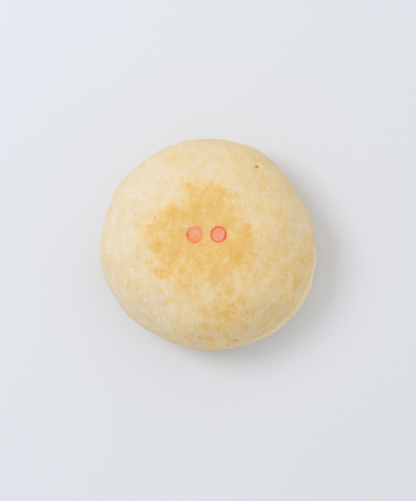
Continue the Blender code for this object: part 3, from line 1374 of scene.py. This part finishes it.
@dataclass
class Pastry:
    """The cake: one closed skin over the solid, with its bake and its dye."""

    shape: HandShape
    bake: Bake
    relief: FineRelief
    foot: FootDoughAndLight
    crust: BakedCrust
    cells: int = 292
    base_rings: int = 9
    top_from: tuple[float, float] = (0.6, 0.8)

    def skin_grid(self) -> tuple[np.ndarray, np.ndarray]:
        """A square grid bent into a disc.

        With u and v from -1 to 1, the share is max(|u|, |v|), and the angle runs evenly along
        each side of the square of that share.

        Returns:
            Shares along the profile and angles round it, one for each point of the grid.
        """
        steps = np.linspace(-1.0, 1.0, self.cells + 1)
        u, v = (axis.ravel() for axis in np.meshgrid(steps, steps, indexing="ij"))
        across = np.abs(u) >= np.abs(v)
        long_side = np.where(across, u, v)
        short_side = np.where(across, v, u)
        turn = 0.25 * math.pi * short_side / np.where(long_side == 0.0, 1.0, long_side)
        angle = np.where(across, turn, 0.5 * math.pi - turn)
        angle = angle + np.where(long_side < 0.0, math.pi, 0.0)
        return np.abs(long_side), angle

    def grid_numbers(self) -> np.ndarray:
        """The numbers of the grid's points, as a square array."""
        side = self.cells + 1
        return np.arange(side * side).reshape(side, side)

    def skin_faces(self) -> np.ndarray:
        """The grid's squares, as rows of four point numbers turned outwards."""
        at = self.grid_numbers()
        return np.stack([at[:-1, :-1], at[1:, :-1], at[1:, 1:], at[:-1, 1:]], axis=-1).reshape(-1, 4)

    def rim_numbers(self) -> np.ndarray:
        """Numbers of the grid's edge points, in order round the cake."""
        at = self.grid_numbers()
        return np.concatenate([at[:-1, 0], at[-1, :-1], at[:0:-1, -1], at[0, :0:-1]])

    def base_rows(self, rim: np.ndarray) -> np.ndarray:
        """Rings of points inside the base's edge, rim * (1 - k / rings), level with it.

        Args:
            rim: the edge points, in order.

        Returns:
            The rings' points, one row each, from the outer ring in.
        """
        shrink = 1.0 - np.arange(1, self.base_rings) / self.base_rings
        rings = rim[None, :, :] * np.array([1.0, 1.0, 0.0]) * shrink[:, None, None]
        return rings.reshape(-1, 3)

    def base_faces(self, rim: np.ndarray, first: int) -> list[np.ndarray]:
        """Squares between the base's rings and triangles to its middle, facing down.

        Args:
            rim: numbers of the edge points, in order.
            first: number of the first point of the first inner ring.

        Returns:
            Face arrays of four and of three point numbers.
        """
        count = len(rim)
        inner = first + np.arange((self.base_rings - 1) * count).reshape(-1, count)
        rings = np.concatenate([rim[None, :], inner])
        onward = np.roll(rings, -1, axis=1)
        squares = np.stack([rings[:-1], rings[1:], onward[1:], onward[:-1]], axis=-1).reshape(-1, 4)
        middle = np.full(count, first + inner.size)
        fan = np.stack([rings[-1], middle, onward[-1]], axis=-1)
        return [squares, fan]

    def normals(self, points: np.ndarray) -> np.ndarray:
        """Unit normals of the skin's grid, from the cross product of its two directions.

        Args:
            points: the grid's points, one row each.

        Returns:
            One normal for each point.
        """
        side = self.cells + 1
        grid = points.reshape(side, side, 3)
        cross = np.cross(np.gradient(grid, axis=0), np.gradient(grid, axis=1)).reshape(-1, 3)
        length = np.linalg.norm(cross, axis=1, keepdims=True)
        return cross / np.where(length == 0.0, 1.0, length)

    def with_relief(self, points: np.ndarray) -> np.ndarray:
        """The points moved along their normals by the fine relief, less the stamps' dents.

        Args:
            points: the grid's points, one row each.

        Returns:
            The moved points.
        """
        rise = self.relief.height(points, self.bake.flecking(points))
        on_top = ease(*self.top_from, points[:, 2] / self.shape.form.height)
        for stamp in self.crust.stamps:
            rise -= stamp.dent(points) * on_top
        return points + self.normals(points) * rise[:, None]

    def surface(self) -> tuple[np.ndarray, list[np.ndarray]]:
        """Points and faces of the closed skin, centred over the frame's origin.

        Returns:
            The points, one row each, and face arrays of four and of three point numbers.
        """
        share, angle = self.skin_grid()
        points = self.shape.applied(self.shape.form.points(share, angle))
        middle = (points.min(axis=0) + points.max(axis=0)) / 2.0
        points -= np.array([middle[0], middle[1], 0.0])
        points = self.with_relief(points)
        rim = self.rim_numbers()
        points[rim, 2] = 0.0
        inner = self.base_rows(points[rim])
        faces = [self.skin_faces(), *self.base_faces(rim, len(points))]
        return np.concatenate([points, inner, [[0.0, 0.0, 0.0]]]), faces

    def layers(self, points: np.ndarray) -> dict[Layer, np.ndarray]:
        """The bake, the painted shade and the foot's painted light at each point of the skin.

        Args:
            points: the skin's points, one row each.

        Returns:
            One array of values for each layer.
        """
        browning = self.bake.browning(points, self.shape.form.height)
        stands_out = self.shape.foot_out(np.arctan2(points[:, 1], points[:, 0]))
        return {
            Layer.BROWNING: browning,
            Layer.FLECKING: self.bake.mottling(points, browning),
            Layer.SPOTTING: self.bake.spotting(points),
            # Painted shade on the shoulders
            Layer.DULLING: self.bake.dulling(points),
            Layer.FOOT: self.foot.share(points[:, 2], stands_out),
            Layer.LEAF: self.relief.leaf_count(points),
            Layer.LEAFING: self.relief.leafing(points),
        }

    def mesh(self) -> bpy.types.Mesh:
        """Puts the skin's arrays into a smooth mesh, with the bake and the painted shade and light in its
        attributes.

        Returns:
            The cake's mesh.
        """
        points, faces = self.surface()
        mesh = bpy.data.meshes.new("mooncake")
        mesh.vertices.add(len(points))
        mesh.vertices.foreach_set("co", points.ravel())
        corners = np.concatenate([face.ravel() for face in faces])
        sizes = np.concatenate([np.full(len(face), face.shape[1]) for face in faces])
        mesh.loops.add(len(corners))
        mesh.loops.foreach_set("vertex_index", corners)
        mesh.polygons.add(len(sizes))
        mesh.polygons.foreach_set("loop_start", np.concatenate([[0], np.cumsum(sizes)[:-1]]))
        mesh.polygons.foreach_set("loop_total", sizes)
        mesh.update(calc_edges=True)
        mesh.validate()
        mesh.shade_smooth()
        for layer, values in self.layers(points).items():
            attribute = mesh.attributes.new(layer.value, "FLOAT", "POINT")
            attribute.data.foreach_set("value", values.astype(np.float32))
        return mesh

    def build(self) -> bpy.types.Object:
        """Makes the cake and dresses it.

        Returns:
            The cake, riding on the frame's body in place of the solid.
        """
        cake = bpy.data.objects.new("mooncake", self.mesh())
        cake.data.materials.append(self.crust.material())
        bpy.context.collection.objects.link(cake)
        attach(cake, CadName.BODY.value)
        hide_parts(CadName.NODE.value)
        return cake


# The stage, the light and the camera


@dataclass(frozen=True)
class SoftLamp:
    """A round soft lamp that faces the cake; its azimuth is counted from +X."""

    name: str
    azimuth: float
    elevation: float
    distance: float
    size: float
    power: float
    colour: str

    def build(self) -> bpy.types.Object:
        """Places the lamp at (cos e cos a, cos e sin a, sin e) times its distance.

        Returns:
            The lamp, turned to the frame's origin.
        """
        azimuth, elevation = math.radians(self.azimuth), math.radians(self.elevation)
        level = math.cos(elevation)
        towards = Vector((level * math.cos(azimuth), level * math.sin(azimuth), math.sin(elevation)))
        light = bpy.data.lights.new(self.name, "AREA")
        light.shape = "DISK"
        light.size = self.size
        light.energy = self.power
        light.color = linear(self.colour)[:3]
        lamp = bpy.data.objects.new(self.name, light)
        lamp.location = towards * self.distance
        lamp.rotation_euler = towards.to_track_quat("Z", "Y").to_euler()
        bpy.context.collection.objects.link(lamp)
        return lamp


@dataclass(frozen=True)
class MattBoard:
    """Smooth board, painted and sanded: matt and a little cool, so that shadows lie softly on it."""

    colour: str = "#EAECF0"
    roughness: float = 0.7

    def material(self) -> bpy.types.Material:
        """Builds the board's material.

        Returns:
            A plain material of the board's colour and roughness.
        """
        material = bpy.data.materials.new("matt_white_board")
        material.use_nodes = True
        shader = material.node_tree.nodes["Principled BSDF"]
        shader.inputs["Base Color"].default_value = linear(self.colour)
        shader.inputs["Roughness"].default_value = self.roughness
        return material


@dataclass
class Studio:
    """A pale floor, two soft windows, a far wall's glow, an even sky and a camera above."""

    camera_height: float = 600.0 * MM
    camera_sees: tuple[float, float] = (0.01, 100.0)
    sensor: float = 36.0
    floor_size: float = 8.0
    floor_gap: float = 0.02 * MM
    floor_finish: MattBoard = MattBoard()
    sky_colour: str = "#FCFDFF"
    sky_strength: float = 0.597
    lamps: tuple[SoftLamp, ...] = (
        SoftLamp("window_back_left", 153.0, 53.0, 0.9, 0.42, 2.85, "#F8FAFF"),
        SoftLamp("window_back_right", 58.0, 52.0, 0.9, 1.1, 0.84, "#F8FAFF"),
        SoftLamp("far_wall_right", 340.0, 13.0, 0.9, 0.8, 0.8, "#FFF8EC"),
    )

    def floor(self) -> bpy.types.Object:
        """A wide level square of board just under the cake.

        Returns:
            The floor.
        """
        signs = np.array([(-1.0, -1.0), (1.0, -1.0), (1.0, 1.0), (-1.0, 1.0)])
        depths = np.full(len(signs), -self.floor_gap)
        corners = np.column_stack([0.5 * self.floor_size * signs, depths])
        mesh = bpy.data.meshes.new("floor")
        mesh.from_pydata(corners.tolist(), [], [(0, 1, 2, 3)])
        mesh.materials.append(self.floor_finish.material())
        floor = bpy.data.objects.new("floor", mesh)
        bpy.context.collection.objects.link(floor)
        return floor

    def sky(self) -> None:
        """Makes the scene's world an even glow from all round, for the soft fill."""
        world = bpy.data.worlds.new("even_sky")
        world.use_nodes = True
        background = world.node_tree.nodes["Background"]
        background.inputs["Color"].default_value = linear(self.sky_colour)
        background.inputs["Strength"].default_value = self.sky_strength
        bpy.context.scene.world = world

    def camera(self, bulge_height: float) -> bpy.types.Object:
        """The photograph's camera, straight above.

        Its lens is the sensor's width times the distance to the cake's widest line, over the
        real length of the frame's long side there.

        Args:
            bulge_height: height at which a pixel is PIXEL wide.

        Returns:
            The scene's camera, with the long side of its frame on the sensor's width.
        """
        data = bpy.data.cameras.new("camera")
        data.sensor_fit = "AUTO"
        data.sensor_width = self.sensor
        long_side = max(FRAME_PIXELS) * PIXEL
        data.lens = self.sensor * (self.camera_height - bulge_height) / long_side
        data.clip_start, data.clip_end = self.camera_sees
        camera = bpy.data.objects.new("camera", data)
        camera.location = (
            (FRAME_PIXELS[0] / 2.0 - CAKE_CENTRE_PIXEL[0]) * PIXEL,
            (CAKE_CENTRE_PIXEL[1] - FRAME_PIXELS[1] / 2.0) * PIXEL,
            self.camera_height,
        )
        bpy.context.collection.objects.link(camera)
        bpy.context.scene.camera = camera
        return camera

    def build(self, bulge_height: float) -> list[bpy.types.Object]:
        """Sets the stage, the sky and the view's plain colour transform.

        Args:
            bulge_height: height of the cake's widest line.

        Returns:
            The floor, the lamps and the camera.
        """
        self.sky()
        bpy.context.scene.view_settings.view_transform = "Standard"
        bpy.context.scene.view_settings.look = "None"
        return [self.floor(), *(lamp.build() for lamp in self.lamps), self.camera(bulge_height)]


# The two stamps, with their places and colours matched

LEFT_STAMP = Stamp(
    x=-4.89 * MM,
    y=3.64 * MM,
    radius=2.85 * MM,
    depth=0.2 * MM,
    ring_width=0.8 * MM,
    ring_softness=0.5 * MM,
    ring_colour="#FF8866",
    pooled_colour="#FD9E64",
    fill_colour="#FFAE88",
    thin_colour="#FDB87C",
    thinning=(0.51, 0.6),
    ring_strength=0.62,
    fill_strength=0.92,
    presses=(
        Press(105.0, 0.6, "#FFA080"),
        Press(20.0, 0.3, "#FF9470"),
        Press(175.0, 0.5, "#F87A40"),
        Press(275.0, 0.5, "#FA8048"),
    ),
    drop=(-7.34 * MM, 3.64 * MM, 0.48 * MM),
)
RIGHT_STAMP = Stamp(
    x=3.16 * MM,
    y=3.74 * MM,
    radius=2.85 * MM,
    depth=0.2 * MM,
    ring_width=0.75 * MM,
    ring_softness=0.35 * MM,
    ring_colour="#FF6238",
    pooled_colour="#FF9C7E",
    fill_colour="#FF906C",
    thin_colour="#F2B684",
    thinning=(0.47, 0.55),
    ring_strength=0.7,
    fill_strength=0.92,
    presses=(
        Press(355.0, 1.0, "#DC4400"),
        Press(118.0, 0.6, "#F84810"),
        Press(85.0, 0.55, "#FF8654"),
        Press(40.0, 0.6, "#F88444"),
        Press(235.0, 0.3, "#FA5A28"),
        Press(315.0, 0.35, "#EA500E"),
    ),
)


def main() -> None:
    """Builds the cake and its stage, and reports each piece."""
    logging.basicConfig(level=logging.INFO, format="%(name)s: %(message)s")
    form = TurnedForm()
    crust = BakedCrust((LEFT_STAMP, RIGHT_STAMP))
    cake = Pastry(HandShape(form), Bake(), FineRelief(), FootDoughAndLight(), crust).build()
    LOG.info("%s has %d points and %d faces", cake.name, len(cake.data.vertices), len(cake.data.polygons))
    for piece in Studio().build(form.bulge_height):
        LOG.info("%s is set up as a %s", piece.name, piece.type.lower())


if __name__ == "__main__":
    main()
